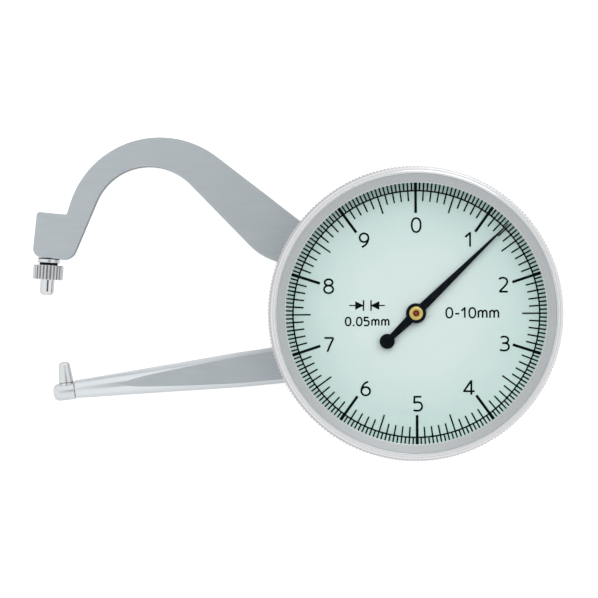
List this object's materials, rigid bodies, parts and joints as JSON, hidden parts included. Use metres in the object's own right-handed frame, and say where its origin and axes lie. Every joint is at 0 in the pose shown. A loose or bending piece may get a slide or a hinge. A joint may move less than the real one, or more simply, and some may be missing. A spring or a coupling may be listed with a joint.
{
  "type": "dial caliper gauge",
  "caption": "Outside dial caliper gauge: a goose-neck arm with a screw-set anvil and a swinging contact arm on a round dial case, with a geared pointer.",
  "frame": {"origin": "middle of the back cover's outer face, on the dial's axis; the gauge lies on its back cover", "axes": "+Z out of the dial towards its reader, +X to the dial's right, away from the jaws, +Y to the dial's top"},
  "size_m": [0.0866, 0.0528, 0.0156],
  "materials": {
    "case_metal": "satin chrome plate",
    "bezel_metal": "satin chrome plate with a matt cone and a polished bead",
    "satin_steel": "finely ground, lengthwise",
    "ground_steel": "ground",
    "bright_steel": "polished",
    "spring_steel": "bright drawn",
    "brass": "satin",
    "black_rubber": "matt",
    "black_paint": "semi-matt black",
    "dial_paint": "pale green, matt",
    "pale_gasket": "matt",
    "crystal": "clear, polished"
  },
  "bodies": {
    "gauge_body": {"case": "case_metal", "back_cover": "case_metal", "back_cover_screw_1": "bright_steel", "back_cover_screw_2": "bright_steel", "back_cover_screw_3": "bright_steel", "back_cover_screw_4": "bright_steel", "main_plate": "brass", "main_plate_screw_1": "bright_steel", "main_plate_screw_2": "bright_steel", "main_plate_screw_3": "bright_steel", "bridge_plate": "brass", "pillar_1": "brass", "pillar_2": "brass", "pillar_3": "brass", "pillar_4": "brass", "bridge_screw_1": "bright_steel", "bridge_screw_2": "bright_steel", "bridge_screw_3": "bright_steel", "bridge_screw_4": "bright_steel", "fixed_arm": "satin_steel", "fixed_arm_screw_1": "bright_steel", "fixed_arm_screw_2": "bright_steel", "fixed_arm_screw_3": "bright_steel", "anvil_collar": "bright_steel", "anvil_lock_ring": "black_rubber", "lever_pivot_pin": "ground_steel", "centre_lower_bush": "brass", "centre_upper_bush": "brass", "intermediate_lower_bush": "brass", "intermediate_upper_bush": "brass", "open_stop_pin": "ground_steel", "return_spring_post": "ground_steel", "return_spring": "spring_steel", "hairspring_stud": "brass", "hairspring": "spring_steel", "bezel_snap_ring": "spring_steel"},
    "contact_arm": {"moving_arm": "satin_steel", "contact_holder": "bright_steel", "contact_pin": "bright_steel", "sector_gear": "brass", "sector_screw_1": "bright_steel", "sector_screw_2": "bright_steel"},
    "intermediate_gears": {"intermediate_arbor": "ground_steel", "intermediate_pinion": "ground_steel", "intermediate_wheel": "brass"},
    "pointer_shaft": {"centre_arbor": "ground_steel", "centre_pinion": "ground_steel", "hairspring_collet": "brass", "pointer": "black_paint", "pointer_boss": "brass"},
    "turning_bezel": {"bezel": "bezel_metal", "crystal": "crystal", "crystal_gasket": "pale_gasket", "dial_plate": "dial_paint", "dial_retaining_ring": "spring_steel"},
    "anvil": {"anvil_screw": "bright_steel"}
  },
  "joints": [
    {"name": "arm_swing", "type": "hinge", "parent": "gauge_body", "child": "contact_arm", "pos_m": [0.001, 0.0134, 0.005], "axis": [0, 0, -1], "range_deg": [0, 10.38], "stiffness_Nm_per_rad": 0.08, "springref_deg": -57.3},
    {"name": "intermediate_turn", "type": "hinge", "parent": "gauge_body", "child": "intermediate_gears", "pos_m": [0.00376, 0.00483, 0.0075], "axis": [0, 0, -1], "range_deg": [0, 104]},
    {"name": "pointer_turn", "type": "hinge", "parent": "gauge_body", "child": "pointer_shaft", "pos_m": [0, 0, 0.012], "axis": [0, 0, 1], "range_deg": [0, 405.1]},
    {"name": "bezel_turn", "type": "hinge", "parent": "gauge_body", "child": "turning_bezel", "pos_m": [0, 0, 0.0095], "axis": [0, 0, 1], "continuous": true},
    {"name": "anvil_turn", "type": "hinge", "parent": "gauge_body", "child": "anvil", "pos_m": [-0.05992, 0.009, 0.005], "axis": [-0.0632, -0.998, 0], "range_deg": [-180, 180]}
  ],
  "couplings": [
    {"joint": "intermediate_turn", "follows": "arm_swing", "ratio": 10},
    {"joint": "pointer_turn", "follows": "arm_swing", "ratio": 39}
  ]
}
